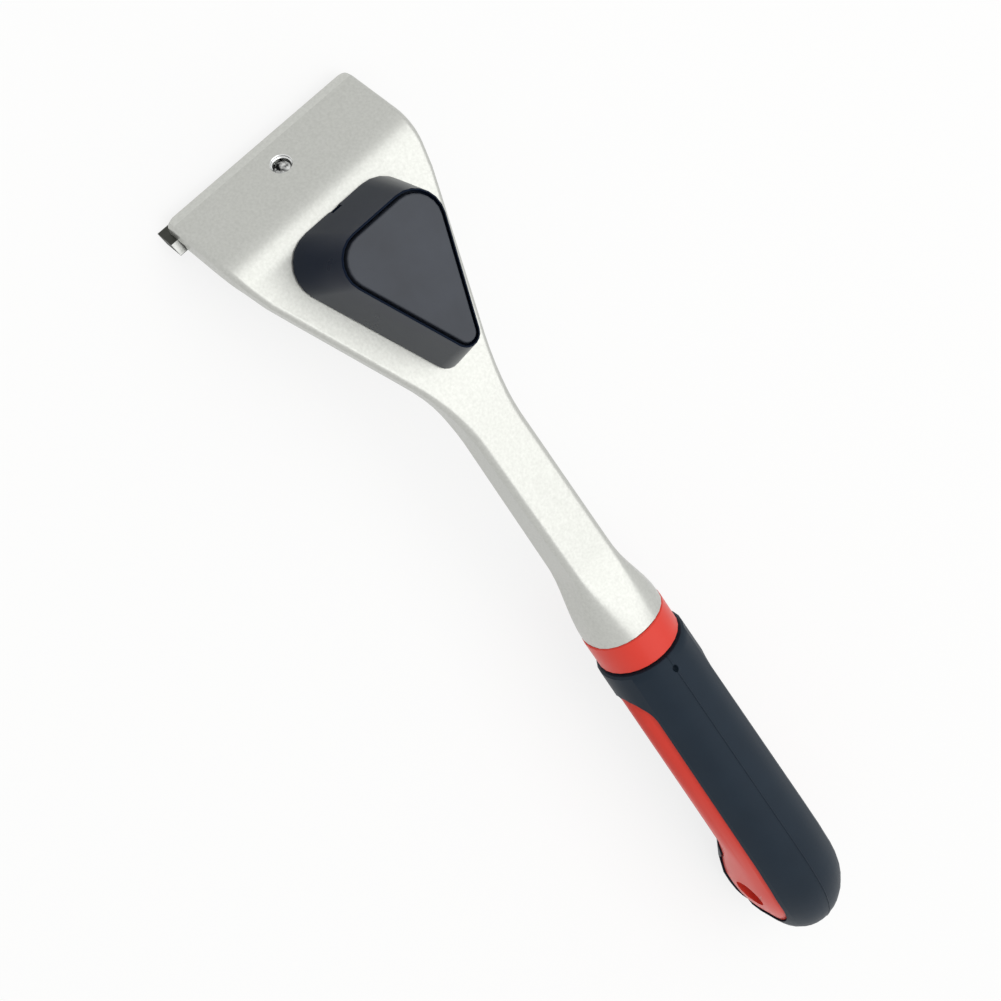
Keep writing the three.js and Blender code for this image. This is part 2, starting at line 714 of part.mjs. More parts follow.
// Side of the coloured strip: rounded in front, and widened over the hook round the hang hole behind
function stripProfile(grow) {
  const half = STRIP_HALF_HEIGHT + grow;
  const straight = STRIP_START + STRIP_TIP_LENGTH;
  const hookStart = HANDLE_LENGTH - HOOK_FROM_END;
  const hookFull = hookStart + HOOK_RISE;
  const end = HANDLE_LENGTH - STRIP_END_MARGIN + grow;
  const shape = new THREE.Shape();
  shape.moveTo(straight, half);
  shape.absellipse(straight, 0, STRIP_TIP_LENGTH + grow, half, QUARTER, 3 * QUARTER, false);
  shape.lineTo(hookStart, -half);
  shape.bezierCurveTo(
    hookStart + HOOK_RISE / 2,
    -half,
    hookStart + HOOK_RISE / 2,
    -half - HOOK_DROP,
    hookFull,
    -half - HOOK_DROP,
  );
  const low = -half - HOOK_DROP - droopAt(end);
  const bend = end - STRIP_END_BEND;
  shape.lineTo(end, low);
  shape.lineTo(end, -HANG_HOLE_DROP);
  shape.quadraticCurveTo(end, half - droopAt(end), bend, half - droopAt(bend));
  shape.quadraticCurveTo(bend - STRIP_END_BEND, half, bend - 2 * STRIP_END_BEND, half);
  shape.lineTo(straight, half);
  return shape;
}

function strip(grow) {
  return prism(handlePlane, stripProfile(grow), 4 * GRIP_REAR_RADIUS);
}

function collar() {
  const radius = COLLAR_RADIUS;
  const levels = [
    [-COLLAR_LENGTH, radius - COLLAR_EDGE],
    [COLLAR_EDGE - COLLAR_LENGTH, radius],
    [-COLLAR_EDGE / 2, radius],
    [0, radius - COLLAR_EDGE / 2],
  ];
  return loft(
    levels.map(([along, half]) =>
      ovalRing(along, half, half * HANDLE_TALLNESS, half * HANDLE_TALLNESS),
    ),
  );
}

function handleCore() {
  const bar = gripForm(-COLLAR_LENGTH / 2, GRIP_SKIN);
  const land = strip(0).intersect(gripForm(GRIP_GROOVE_WIDTH, STRIP_RECESS));
  const hole = HANDLE_LENGTH - HANG_HOLE_FROM_END;
  const holeEnds = [-HEAD_WIDTH, HEAD_WIDTH].map((across) =>
    inPlane(handlePlane, hole, -HANG_HOLE_DROP, across),
  );
  return cut(joined(bar, collar(), land), tang(GAP), rod(...holeEnds, HANG_HOLE_DIAMETER / 2));
}

function handleGrip() {
  const edge = [
    [GRIP_GROOVE_WIDTH, GRIP_EDGE],
    [GRIP_GROOVE_WIDTH + GRIP_EDGE, 0],
  ];
  const front = GRIP_GROOVE_WIDTH + 2 * GRIP_EDGE;
  const lead = loft([...edge, [front, 0]].map(([along, inset]) => gripRing(along, inset)));
  return cut(joined(lead, gripForm(front, 0)), gripForm(-COLLAR_LENGTH, GRIP_SKIN - GAP), strip(GAP));
}

// Tilt at which the blade's edge and the end of the grip stand on one level

function lowest(mesh, tilt) {
  const { array } = mesh.geometry.attributes.position;
  let low = Infinity;
  for (let i = 0; i < array.length; i += 3) {
    low = Math.min(low, array[i] * Math.sin(tilt) + array[i + 2] * Math.cos(tilt));
  }
  return low;
}

function restTilt(front, rear) {
  let [low, high] = [0, QUARTER / 2];
  for (let i = 0; i < TILT_HALVINGS; i++) {
    const middle = (low + high) / 2;
    if (lowest(rear, middle) < lowest(front, middle)) low = middle;
    else high = middle;
  }
  return low;
}

// Assembly, standing on z = 0 with the origin under the middle of its length

const [screwFront, screwRear] = knobScrewPlaces;
const bladePiece = piece("blade", blade(), 0x4a4a48, 0.35, 0.9);
const gripPiece = piece("handle_grip", handleGrip(), 0x1d2228, 0.6, 0);
const tool = new THREE.Group();
tool.add(
  piece("head_casting", headCasting(), 0xd9dad5, 0.42, 0.3),
  bladePiece,
  piece("clamp_plate", clampPlate(), 0x8d8f90, 0.4, 0.9),
  piece("clamp_screw", clampScrew(), 0xb4b6b8, 0.28, 1),
  piece("knob_body", knobBody(), 0x24272c, 0.5, 0),
  piece("knob_cap", knobCap(), 0x34373c, 0.45, 0),
  piece("knob_screw_front", knobScrew(screwFront), 0xb4b6b8, 0.3, 1),
  piece("knob_screw_rear", knobScrew(screwRear), 0xb4b6b8, 0.3, 1),
  piece("handle_core", handleCore(), 0xd2322a, 0.4, 0),
  gripPiece,
);
tool.rotation.y = -restTilt(bladePiece, gripPiece);

const scraper = new THREE.Group();
scraper.add(tool);
scraper.updateMatrixWorld(true);
const box = new THREE.Box3().setFromObject(scraper, true);
tool.position.set(-(box.min.x + box.max.x) / 2, 0, -box.min.z);

export default scraper;
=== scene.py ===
"""Dresses the two-hand paint scraper: cast head, clamped blade, palm knob and two-colour handle."""
import json
import logging
import math
from collections.abc import Callable, Iterator
from contextlib import contextmanager
from dataclasses import dataclass
from enum import Enum

import bpy
from mathutils import Matrix, Vector


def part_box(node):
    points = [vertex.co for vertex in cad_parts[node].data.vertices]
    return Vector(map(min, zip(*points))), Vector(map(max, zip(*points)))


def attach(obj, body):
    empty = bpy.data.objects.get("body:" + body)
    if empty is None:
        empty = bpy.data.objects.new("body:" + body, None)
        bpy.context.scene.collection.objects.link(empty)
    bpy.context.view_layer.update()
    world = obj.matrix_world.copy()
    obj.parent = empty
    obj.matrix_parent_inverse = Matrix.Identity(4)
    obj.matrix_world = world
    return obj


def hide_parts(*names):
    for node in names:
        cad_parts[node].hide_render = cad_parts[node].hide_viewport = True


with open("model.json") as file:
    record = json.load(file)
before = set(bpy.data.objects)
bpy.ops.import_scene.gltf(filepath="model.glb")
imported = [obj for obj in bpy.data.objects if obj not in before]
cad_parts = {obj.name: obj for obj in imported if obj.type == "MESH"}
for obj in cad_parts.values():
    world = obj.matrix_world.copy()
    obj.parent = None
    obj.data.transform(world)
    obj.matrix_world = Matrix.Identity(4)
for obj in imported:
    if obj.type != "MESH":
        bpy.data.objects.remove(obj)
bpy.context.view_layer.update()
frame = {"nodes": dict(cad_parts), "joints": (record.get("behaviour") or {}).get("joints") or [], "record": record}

MM = 0.001
ACROSS = Vector((0, 1, 0))
UP = Vector((0, 0, 1))
WHITE = (1.0, 1.0, 1.0, 1.0)
# Points nearer than this are one point
WELD_MM = 0.002
# Faces that turn less than this are one flat face
FLAT_DEGREES = 0.3
# Lead that wide faces have over narrow ones where the wide ones are shaded flat
FLAT_WEIGHT = 60
# Octaves of the cloudy pattern, and its middle value between zero and one
CLOUD_DETAIL = 4.0
CLOUD_MIDDLE = 0.5
# Numbers of a mix node's colour sockets, whose names other sockets have too
MIX_A, MIX_B, MIX_RESULT = 6, 7, 2
log = logging.getLogger("scraper")

FaceTest = Callable[[bpy.types.MeshPolygon], bool]


class Body(Enum):
    """Bodies of the tool that pieces ride on."""

    TOOL = "tool"
    BLADE = "blade"
    PLATE = "plate"
    SCREW = "screw"


class Pattern(Enum):
    """Noise that a finish is broken up with."""

    CLOUD = "ShaderNodeTexNoise"
    GRAIN = "ShaderNodeTexVoronoi"


def linear(colour: str) -> tuple[float, float, float, float]:
    """Turns an sRGB hex colour into linear values.

    Args:
        colour: Six hex digits after a hash sign.

    Returns:
        Linear red, green, blue and an alpha of one.
    """
    shares = [int(colour[i : i + 2], 16) / 255 for i in (1, 3, 5)]
    # The curve of the sRGB standard
    values = [c / 12.92 if c <= 0.04045 else ((c + 0.055) / 1.055) ** 2.4 for c in shares]
    return (values[0], values[1], values[2], 1.0)


def per_metre(size_mm: float) -> float:
    """Pattern scale, in features per metre, of features of a size in millimetres."""
    return 1000 / size_mm


def add_node(
    tree: bpy.types.NodeTree,
    kind: str,
    inputs: dict[str | int, object] | None = None,
    **settings: object,
) -> bpy.types.Node:
    """Adds a shader node with its settings, values and links.

    Args:
        tree: Node tree that takes the node.
        kind: Type name of the node.
        inputs: Value or output socket for each named or numbered input.
        **settings: Properties of the node.

    Returns:
        The new node.
    """
    node = tree.nodes.new(kind)
    for name, value in settings.items():
        setattr(node, name, value)
    for name, value in (inputs or {}).items():
        if isinstance(value, bpy.types.NodeSocket):
            tree.links.new(value, node.inputs[name])
        else:
            node.inputs[name].default_value = value
    return node


@dataclass(frozen=True, kw_only=True)
class Finish:
    """A surface: what it is made of, and the fine pattern that its making leaves.

    Attributes:
        name: Common name of the material.
        colour: Main colour, sRGB.
        shade: Second colour that the cloudy pattern mixes in, sRGB.
        metallic: Share of metal.
        roughness: Middle roughness.
        roughness_spread: How far the cloudy pattern moves the roughness, each way.
        cloud_mm: Size of the cloudy pattern.
        grain: Kind of the fine grain.
        grain_mm: Size of the fine grain.
        grain_depth_mm: Height of the fine grain.
        stretch: Stretch of both patterns along x, y and z.
        specular: Level of the mirror-like part, 0.5 for an index of 1.5.
        coat: Weight of a clear coat.
        gleam: Tint of the mirror-like part, sRGB.
        patchiness: How sharply the two colours part, one for a soft mix.
    """

    name: str
    colour: str
    shade: str
    metallic: float = 0.0
    roughness: float
    roughness_spread: float
    cloud_mm: float
    grain: Pattern = Pattern.CLOUD
    grain_mm: float
    grain_depth_mm: float
    stretch: tuple[float, float, float] = (1.0, 1.0, 1.0)
    specular: float = 0.5
    coat: float = 0.0
    gleam: str = "#ffffff"
    patchiness: float = 1.0

    def build(self) -> bpy.types.Material:
        """Makes the material.

        Returns:
            A material that reads object coordinates.
        """
        material = bpy.data.materials.new(self.name)
        material.use_nodes = True
        tree = material.node_tree
        shader = tree.nodes["Principled BSDF"]
        shader.inputs["Metallic"].default_value = self.metallic
        shader.inputs["Specular IOR Level"].default_value = self.specular
        shader.inputs["Coat Weight"].default_value = self.coat
        shader.inputs["Specular Tint"].default_value = linear(self.gleam)
        place = add_node(tree, "ShaderNodeTexCoord")
        squeeze = [1 / s for s in self.stretch]
        stretched = add_node(
            tree, "ShaderNodeMapping", {"Vector": place.outputs["Object"], "Scale": squeeze}
        ).outputs[0]
        cloud = add_node(
            tree,
            Pattern.CLOUD.value,
            {"Vector": stretched, "Scale": per_metre(self.cloud_mm), "Detail": CLOUD_DETAIL},
        ).outputs[0]
        tree.links.new(self.mixed_colour(tree, cloud), shader.inputs["Base Color"])
        gloss = add_node(
            tree,
            "ShaderNodeMapRange",
            {
                "Value": cloud,
                "To Min": self.roughness - self.roughness_spread,
                "To Max": self.roughness + self.roughness_spread,
            },
        )
        tree.links.new(gloss.outputs[0], shader.inputs["Roughness"])
        tree.links.new(self.grained_normal(tree, stretched), shader.inputs["Normal"])
        return material

    def mixed_colour(
        self, tree: bpy.types.NodeTree, cloud: bpy.types.NodeSocket
    ) -> bpy.types.NodeSocket:
        """Mixes the two colours by the cloudy pattern.

        Args:
            tree: Node tree that takes the nodes.
            cloud: The cloudy pattern.

        Returns:
            Socket of the mixed colour.
        """
        half = CLOUD_MIDDLE / self.patchiness
        patches = add_node(
            tree,
            "ShaderNodeMapRange",
            {"Value": cloud, "From Min": CLOUD_MIDDLE - half, "From Max": CLOUD_MIDDLE + half},
        )
        mix = add_node(
            tree,
            "ShaderNodeMix",
            {
                "Factor": patches.outputs[0],
                MIX_A: linear(self.colour),
                MIX_B: linear(self.shade),
            },
            data_type="RGBA",
        )
        return mix.outputs[MIX_RESULT]

    def grained_normal(
        self, tree: bpy.types.NodeTree, stretched: bpy.types.NodeSocket
    ) -> bpy.types.NodeSocket:
        """Roughens the surface by the fine grain.

        Args:
            tree: Node tree that takes the nodes.
            stretched: Stretched coordinates.

        Returns:
            Socket of the bumped normal.
        """
        grain = add_node(
            tree, self.grain.value, {"Vector": stretched, "Scale": per_metre(self.grain_mm)}
        )
        bump = add_node(
            tree,
            "ShaderNodeBump",
            {"Height": grain.outputs[0], "Distance": self.grain_depth_mm * MM, "Strength": 1.0},
        )
        return bump.outputs[0]


# A pixel of the picture covers about 0.3 mm. The flakes of the lacquer, the grain of the moulds and
# the marks of grinding are finer than that, so each is drawn as coarse as it needs to show.

# Die-cast aluminium under a silver metallic lacquer: flat faces mirror the light softly, so that
# each face has its own grey, with the speckle of the metal flakes
SILVER_LACQUER = Finish(
    name="silver_lacquer",
    colour="#c9cac5",
    shade="#b0b1ac",
    metallic=0.85,
    roughness=0.36,
    roughness_spread=0.05,
    cloud_mm=0.75,
    grain_mm=0.55,
    grain_depth_mm=0.014,
    coat=0.05,
)

# The same lacquer along the lip, rubbed by the work: smoother, and a little lighter, partly from wear and partly
# as a painted highlight
WORN_AND_HIGHLIT_LACQUER = Finish(
    name="worn_lacquer_and_painted_highlight",
    colour="#d2d3ce",
    shade="#b9bab5",
    metallic=0.85,
    roughness=0.34,
    roughness_spread=0.06,
    cloud_mm=0.75,
    grain_mm=0.55,
    grain_depth_mm=0.01,
    coat=0.05,
)

# The same aluminium where it is drilled and tapped: bare, bright and smooth
BARE_ALUMINIUM = Finish(
    name="bare_aluminium",
    colour="#e2e3e2",
    shade="#cfd0cf",
    metallic=1.0,
    roughness=0.22,
    roughness_spread=0.06,
    cloud_mm=1.5,
    grain_mm=0.4,
    grain_depth_mm=0.004,
)

# Glass-filled nylon, moulded satin: blue-black, bright only where it is seen at a glancing angle
KNOB_NYLON = Finish(
    name="knob_nylon",
    colour="#081222",
    shade="#0e1829",
    roughness=0.28,
    roughness_spread=0.02,
    cloud_mm=16.0,
    grain_mm=0.6,
    grain_depth_mm=0.0003,
    specular=0.066,
    gleam="#e6effc",
)

# The same nylon from a finely eroded mould face: a little lighter and cloudier, its light patches partly the
# mould's random tone and partly painted sheen
CAP_NYLON_WITH_SHEEN = Finish(
    name="cap_nylon_and_painted_sheen",
    colour="#05080f",
    shade="#41464f",
    roughness=0.4,
    roughness_spread=0.14,
    cloud_mm=20.0,
    grain_mm=0.5,
    grain_depth_mm=0.008,
    specular=0.36,
)

# Thermoplastic rubber, moulded matt: blue-black, with little shine
GRIP_RUBBER = Finish(
    name="grip_rubber",
    colour="#1a242e",
    shade="#222d38",
    roughness=0.46,
    roughness_spread=0.05,
    cloud_mm=12.0,
    grain_mm=0.5,
    grain_depth_mm=0.012,
    specular=0.105,
)

# Polypropylene, moulded smooth: full red with a soft shine
CORE_POLYPROPYLENE = Finish(
    name="core_polypropylene",
    colour="#d83c2e",
    shade="#d03527",
    roughness=0.36,
    roughness_spread=0.05,
    cloud_mm=14.0,
    grain_mm=0.9,
    grain_depth_mm=0.006,
    specular=0.3,
)

# Hardened tool steel, ground along the blade: dark, with scratches that run with the edge
GROUND_STEEL = Finish(
    name="ground_steel",
    colour="#4b4c48",
    shade="#3d3e3a",
    metallic=1.0,
    roughness=0.42,
    roughness_spread=0.08,
    cloud_mm=1.2,
    grain_mm=0.35,
    grain_depth_mm=0.01,
    stretch=(1.0, 14.0, 1.0),
)

# The blade's bevels, ground last and finer: bright
KEEN_STEEL = Finish(
    name="keen_steel",
    colour="#c3c4c1",
    shade="#a9aaa7",
    metallic=1.0,
    roughness=0.3,
    roughness_spread=0.06,
    cloud_mm=0.8,
    grain_mm=0.3,
    grain_depth_mm=0.006,
    stretch=(1.0, 14.0, 1.0),
)

# Hardened screw steel, blackened in oil: black and silver, the sharp silver patches being painted glints
BLACK_OXIDE_WITH_GLINTS = Finish(
    name="black_oxide_painted_glints",
    colour="#131414",
    shade="#d8d9d7",
    metallic=1.0,
    roughness=0.34,
    roughness_spread=0.08,
    cloud_mm=1.6,
    grain_mm=0.7,
    grain_depth_mm=0.05,
    patchiness=5.0,
)

# Mild steel, zinc plated: bluish grey with a fine spangle
ZINC_PLATE = Finish(
    name="zinc_plate",
    colour="#b4b7ba",
    shade="#9a9da0",
    metallic=1.0,
    roughness=0.34,
    roughness_spread=0.08,
    cloud_mm=2.4,
    grain=Pattern.GRAIN,
    grain_mm=0.8,
    grain_depth_mm=0.004,
)


def deselect() -> None:
    """Clears the selection, so that an operator acts on nothing but what is selected next."""
    if bpy.context.object and bpy.context.object.mode != "OBJECT":
        bpy.ops.object.mode_set(mode="OBJECT")
    bpy.ops.object.select_all(action="DESELECT")


def take(piece: bpy.types.Object) -> None:
    """Makes a piece the one that is selected and active.

    Args:
        piece: Object that is taken.
    """
    deselect()
    piece.select_set(True)
    bpy.context.view_layer.objects.active = piece


@contextmanager
def editing(piece: bpy.types.Object) -> Iterator[None]:
    """Opens a piece for edit operators with all of it selected, and closes it at the end.

    Args:
        piece: Object that is edited.

    Yields:
        Nothing, while the piece is open.
    """
    take(piece)
    bpy.ops.object.mode_set(mode="EDIT")
    bpy.ops.mesh.select_all(action="SELECT")
    yield
    bpy.ops.object.mode_set(mode="OBJECT")


def apply_modifier(piece: bpy.types.Object, kind: str, **settings: object) -> None:
    """Adds a modifier to a piece and applies it.

    Args:
        piece: Object that is changed.
        kind: Type name of the modifier.
        **settings: Properties of the modifier.
    """
    take(piece)
    modifier = piece.modifiers.new(kind.lower(), kind)
    for name, value in settings.items():
        setattr(modifier, name, value)
    bpy.ops.object.modifier_apply(modifier=modifier.name)


def smooth(piece: bpy.types.Object, degrees: float, keep_flat: bool = False) -> None:
    """Shades a piece smooth across edges that turn less than an angle.

    Args:
        piece: Object that is shaded.
        degrees: Edges that turn less than this are smooth.
        keep_flat: Whether its wide faces are shaded flat up to their edges.
    """
    take(piece)
    bpy.ops.object.shade_smooth_by_angle(angle=math.radians(degrees))
    if keep_flat:
        apply_modifier(
            piece, "WEIGHTED_NORMAL", mode="FACE_AREA", weight=FLAT_WEIGHT, keep_sharp=True
        )


def weld(piece: bpy.types.Object) -> None:
    """Joins the points of a piece that lie at the same place."""
    with editing(piece):
        bpy.ops.mesh.remove_doubles(threshold=WELD_MM * MM)


def welded_copy(node: str, name: str) -> bpy.types.Object:
    """Copies a CAD node as one connected mesh with its flat faces whole.

    Args:
        node: Name of the CAD node.
        name: Name of the new piece.

    Returns:
        The new piece, at the origin.
    """
    mesh = frame["nodes"][node].data.copy()
    mesh.name = name
    piece = bpy.data.objects.new(name, mesh)
    bpy.context.scene.collection.objects.link(piece)
    weld(piece)
    with editing(piece):
        bpy.ops.mesh.dissolve_limited(angle_limit=math.radians(FLAT_DEGREES))
    return piece


def dress(
    piece: bpy.types.Object, body: Body, material: bpy.types.Material
) -> bpy.types.Object:
    """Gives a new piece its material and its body.

    Args:
        piece: The new piece.
        body: Body that it rides on.
        material: Its material.

    Returns:
        The piece.
    """
    piece.data.materials.clear()
    piece.data.materials.append(material)
    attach(piece, body.value)
    log.info("%s rides on %s", piece.name, body.value)
    return piece


def stand_for(
    node: str,
    name: str,
    body: Body,
    material: bpy.types.Material,
    degrees: float,
    keep_flat: bool = False,
) -> bpy.types.Object:
    """Puts a smooth copy in the place of a CAD node.

    Args:
        node: Name of the CAD node.
        name: Name of the new piece.
        body: Body that the node is on.
        material: Material of the piece.
        degrees: Edges that turn less than this are shaded smooth.
        keep_flat: Whether its wide faces are shaded flat up to their edges.

    Returns:
        The new piece.
    """
    piece = welded_copy(node, name)
    smooth(piece, degrees, keep_flat)
    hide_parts(node)
    return dress(piece, body, material)


def second_finish(
    piece: bpy.types.Object, material: bpy.types.Material, chosen: FaceTest
) -> None:
    """Gives some faces of a dressed piece a further material.

    Args:
        piece: The dressed piece.
        material: Its further material.
        chosen: Tells whether a face takes it.
    """
    index = len(piece.data.materials)
    piece.data.materials.append(material)
    for face in piece.data.polygons:
        if chosen(face):
            face.material_index = index


def carve(cutter: bpy.types.Object, *pieces: bpy.types.Object) -> None:
    """Cuts a form out of each piece and removes the form.

    Args:
        cutter: The form.
        *pieces: Pieces that are cut.
    """
    for piece in pieces:
        apply_modifier(piece, "BOOLEAN", operation="DIFFERENCE", solver="EXACT", object=cutter)
        weld(piece)
    bpy.data.objects.remove(cutter)


def split_across(piece: bpy.types.Object, x: float) -> None:
    """Splits the faces of a piece at x, so that a cut beyond it leaves their shading as it is."""
    with editing(piece):
        bpy.ops.mesh.bisect(plane_co=(x, 0, 0), plane_no=(1, 0, 0))


def joint_named(name: str) -> dict:
    """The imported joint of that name."""
    return next(joint for joint in frame["joints"] if joint["name"] == name)


def mount_named(name: str) -> dict:
    """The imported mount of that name."""
    return next(mount for mount in frame["record"]["mounts"] if mount["name"] == name)


@dataclass
class ScrewLine:
    """The line that the clamp screw turns about.

    Attributes:
        middle: The joint's point on it.
        inward: Way from the screw's head to its tip.
    """

    middle: Vector
    inward: Vector

    @classmethod
    def packed(cls) -> "ScrewLine":
        """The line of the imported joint."""
        turn = joint_named("screw_turn")
        return cls(Vector(turn["pos_m"]), -Vector(turn["axis"]))

    def at(self, along_mm: float) -> Vector:
        """The point that lies so far inward of the joint's point."""
        return self.middle + self.inward * along_mm * MM


@dataclass
class Thread:
    """Thread of the clamp screw or of its hole, made as one ridge that winds about the axis.

    Attributes:
        pitch_mm: Rise of one turn.
        flank_mm: Half of the ridge's foot along the axis.
        crest_flat_mm: Half of the ridge's crest along the axis.
        steps: Steps of one turn.
        smooth_degrees: Edges that turn less than this are shaded smooth.
    """

    pitch_mm: float = 0.8
    flank_mm: float = 0.36
    crest_flat_mm: float = 0.08
    steps: int = 32
    smooth_degrees: float = 40

    def wind(
        self,
        name: str,
        line: ScrewLine,
        start_mm: float,
        foot_mm: float,
        crest_mm: float,
        turns: int,
    ) -> bpy.types.Object:
        """Winds the ridge.

        Args:
            name: Name of the piece.
            line: Line that it winds about.
            start_mm: Where the first turn starts, counted inward from the joint's point.
            foot_mm: Radius of the ridge's foot.
            crest_mm: Radius of its crest.
            turns: Number of turns.

        Returns:
            The thread, at the origin with its place in its mesh.
        """
        piece = self.section(name, foot_mm, crest_mm)
        apply_modifier(
            piece,
            "SCREW",
            axis="Z",
            angle=2 * math.pi,
            screw_offset=self.pitch_mm * MM,
            iterations=turns,
            steps=self.steps,
            render_steps=self.steps,
        )
        weld(piece)
        with editing(piece):
            bpy.ops.mesh.select_all(action="DESELECT")
            bpy.ops.mesh.select_non_manifold()
            bpy.ops.mesh.edge_face_add()
            bpy.ops.mesh.select_all(action="SELECT")
            bpy.ops.mesh.normals_make_consistent(inside=False)
        turn = UP.rotation_difference(line.inward).to_matrix().to_4x4()
        piece.data.transform(Matrix.Translation(line.at(start_mm)) @ turn)
        smooth(piece, self.smooth_degrees)
        return piece

    def section(self, name: str, foot_mm: float, crest_mm: float) -> bpy.types.Object:
        """Makes the outline of the ridge's section.

        Args:
            name: Name of the piece.
            foot_mm: Radius of the ridge's foot.
            crest_mm: Radius of its crest.

        Returns:
            Four edges without a face.
        """
        deselect()
        bpy.ops.mesh.primitive_plane_add(size=1)
        piece = bpy.context.object
        piece.name = name
        corners = [
            (foot_mm, -self.flank_mm),
            (crest_mm, -self.crest_flat_mm),
            (crest_mm, self.crest_flat_mm),
            (foot_mm, self.flank_mm),
        ]
        order = sorted(piece.data.vertices, key=lambda v: math.atan2(v.co.y, v.co.x))
        for vertex, (radius, height) in zip(order, corners):
            vertex.co = Vector((radius, 0, height)) * MM
        with editing(piece):
            bpy.ops.mesh.delete(type="ONLY_FACE")
        return piece


@dataclass
class CastHead:
    """Head, neck and tang, cast in one piece and lacquered, with the clamp screw's tapped hole.

    Attributes:
        smooth_degrees: Edges that turn less than this are shaded smooth.
        hole_radius_mm: Radius of the hole's wall.
        hole_margin: Faces nearer to the hole's axis than this are its wall, in hole radii.
        thread_crest_mm: Radius at which the crests of the hole's thread end.
        thread_start_mm: Where the hole's last thread starts, counted inward from the joint's point.
        thread_turns: Turns of thread that show above the screw's tip.
        lip_mm: Length of the bevel along the lip.
        lip_margin: Faces nearer to the lip than this are worn and painted lighter as a highlight, in lengths of
            the bevel.
        lip_facing: Least cosine between the normal of a worn, highlight-painted face and the screw's line.
    """

    smooth_degrees: float = 34
    hole_radius_mm: float = 2.78
    hole_margin: float = 1.1
    thread_crest_mm: float = 2.45
    thread_start_mm: float = 6.8
    thread_turns: int = 1
    lip_mm: float = 2.8
    lip_margin: float = 1.05
    lip_facing: float = 0.8

    def build(self) -> None:
        """Builds and dresses the casting."""
        bare = BARE_ALUMINIUM.build()
        head = stand_for(
            "head_casting",
            "cast_head",
            Body.TOOL,
            SILVER_LACQUER.build(),
            self.smooth_degrees,
            keep_flat=True,
        )
        line = ScrewLine.packed()
        second_finish(head, bare, self.in_hole(head, line))
        # The bevel along the lip takes a lighter lacquer: partly wear, partly a painted highlight
        second_finish(head, WORN_AND_HIGHLIT_LACQUER.build(), self.on_lip(head, line))
        thread = Thread().wind(
            "hole_thread",
            line,
            self.thread_start_mm,
            self.hole_radius_mm,
            self.thread_crest_mm,
            self.thread_turns,
        )
        dress(thread, Body.TOOL, bare)

    def in_hole(self, head: bpy.types.Object, line: ScrewLine) -> FaceTest:
        """Makes the test for faces at the wall of the tapped hole.

        Args:
            head: The casting.
            line: Line of the clamp screw.

        Returns:
            Test that a face passes if all of it lies there.
        """
        reach = self.hole_margin * self.hole_radius_mm * MM

        def test(face: bpy.types.MeshPolygon) -> bool:
            """Tells whether all of a face lies close to the screw's line."""
            offsets = [head.data.vertices[i].co - line.middle for i in face.vertices]
            return all(offset.cross(line.inward).length < reach for offset in offsets)

        return test

    def on_lip(self, head: bpy.types.Object, line: ScrewLine) -> FaceTest:
        """Makes the test for faces on the upper side of the bevel along the lip.

        Args:
            head: The casting.
            line: Line of the clamp screw, square to the sloping front.

        Returns:
            Test that a face passes if all of it lies there.
        """
        up_slope = ACROSS.cross(line.inward)
        lip = min(vertex.co.dot(up_slope) for vertex in head.data.vertices)
        reach = self.lip_margin * self.lip_mm * MM

        def test(face: bpy.types.MeshPolygon) -> bool:
            """Tells whether all of a face lies close to the lip and faces up."""
            heights = [head.data.vertices[i].co.dot(up_slope) - lip for i in face.vertices]
            return max(heights) < reach and face.normal.dot(line.inward) > self.lip_facing

        return test


@dataclass
class BladeClamp:
    """Blade, the plate that presses it up, and the screw that draws the plate.

    Attributes:
        blade_degrees: Edges of the blade that turn less than this are shaded smooth.
        clamp_degrees: The same for the plate and the screw.
        bevel_facing: Cosines between which a bevel's normal lies to the plate's way.
        shank_radius_mm: Radius of the screw's shank.
        thread_crest_mm: Radius of the thread's crest.
        thread_start_mm: Where the thread starts, counted inward from the joint's point.
        thread_turns: Turns of the thread.
    """

    blade_degrees: float = 20
    clamp_degrees: float = 30
    bevel_facing: tuple[float, float] = (0.2, 0.95)
    shank_radius_mm: float = 2.46
    thread_crest_mm: float = 2.68
    thread_start_mm: float = 1.2
    thread_turns: int = 6

    def build(self) -> None:
        """Builds and dresses the blade and its clamp."""
        self.blade()
        stand_for(
            "clamp_plate",
            "pressure_plate",
            Body.PLATE,
            ZINC_PLATE.build(),
            self.clamp_degrees,
            keep_flat=True,
        )
        # The screw's sharp silver patches are painted glints
        black = BLACK_OXIDE_WITH_GLINTS.build()
        stand_for(
            "clamp_screw", "blade_screw", Body.SCREW, black, self.clamp_degrees
        )
        thread = Thread().wind(
            "screw_thread",
            ScrewLine.packed(),
            self.thread_start_mm,
            self.shank_radius_mm,
            self.thread_crest_mm,
            self.thread_turns,
        )
        dress(thread, Body.SCREW, black)

    def blade(self) -> None:
        """Builds the blade, with its bevels bright."""
        blade = stand_for(
            "blade",
            "scraper_blade",
            Body.BLADE,
            GROUND_STEEL.build(),
            self.blade_degrees,
            keep_flat=True,
        )
        square = Vector(joint_named("plate_slide")["axis"])
        low, high = self.bevel_facing
        second_finish(
            blade, KEEN_STEEL.build(), lambda face: low < abs(face.normal.dot(square)) < high
        )


